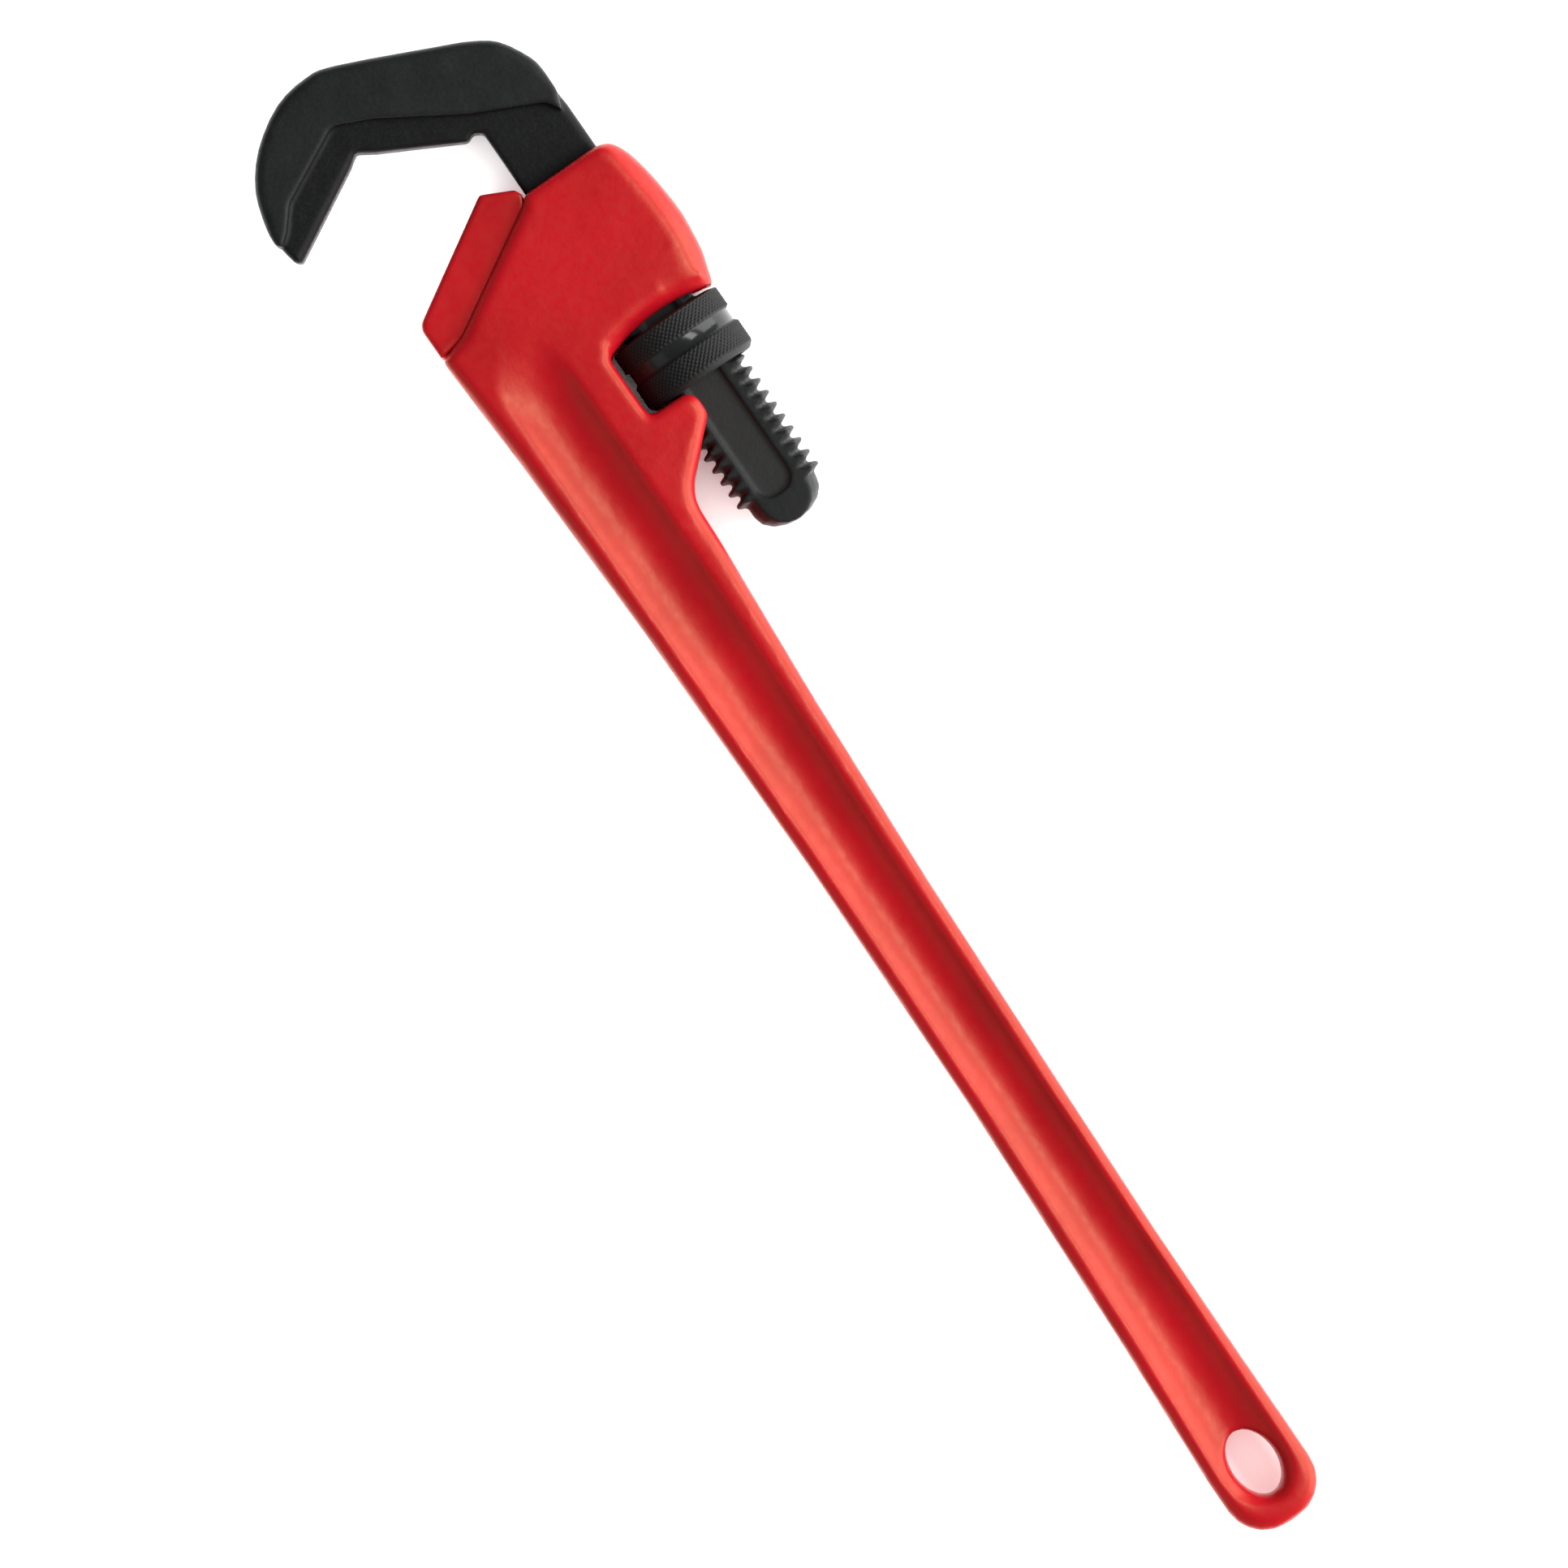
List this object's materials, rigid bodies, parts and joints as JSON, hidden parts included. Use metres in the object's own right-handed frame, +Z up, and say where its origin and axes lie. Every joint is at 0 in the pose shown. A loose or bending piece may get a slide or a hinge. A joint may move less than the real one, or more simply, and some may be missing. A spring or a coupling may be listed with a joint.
{
  "type": "pipe wrench",
  "caption": "Long straight-handled hex wrench: smooth angled jaws, screw-adjusted hook jaw, knurled ring nut, cast I-section handle with a hanging hole.",
  "frame": {"origin": "middle of the wrench's box, at the level of the nut's lowest point as the wrench lies on its side", "axes": "+X along the shank axis towards the hook, +Y from the shank to the side of the jaw faces, +Z up out of the side face"},
  "size_m": [0.4912, 0.0992, 0.035],
  "materials": {
    "red_enamel": "gloss enamel over cast iron",
    "black_forging": "blackened steel forging, satin",
    "spring_steel": "plain spring steel"
  },
  "bodies": {
    "housing": {"handle_housing": "red_enamel", "heel_jaw": "red_enamel", "heel_jaw_pin": "spring_steel", "spring_rivet": "spring_steel", "coil_spring": "spring_steel"},
    "float": {"leaf_spring": "spring_steel"},
    "hook": {"hook_jaw": "black_forging"},
    "nut": {"adjusting_nut": "black_forging"}
  },
  "joints": [
    {"name": "hook_float", "type": "hinge", "parent": "housing", "child": "float", "pos_m": [0.1348, -0.02825, 0.0175], "axis": [0, 0, 1], "range_deg": [-0.8, 0], "stiffness_Nm_per_rad": 30, "springref_deg": 1.72, "deforming": ["leaf_spring", "coil_spring"]},
    {"name": "hook_slide", "type": "slide", "parent": "float", "child": "hook", "axis": [1, 0, 0], "range_m": [-0.0134, 0.016]},
    {"name": "nut_spin", "type": "hinge", "parent": "float", "child": "nut", "pos_m": [0.1218, -0.02825, 0.0175], "axis": [1, 0, 0], "range_deg": [-1440, 1440]}
  ],
  "couplings": [
    {"joint": "nut_spin", "follows": "hook_slide", "rad_per_m": -1551.4}
  ]
}
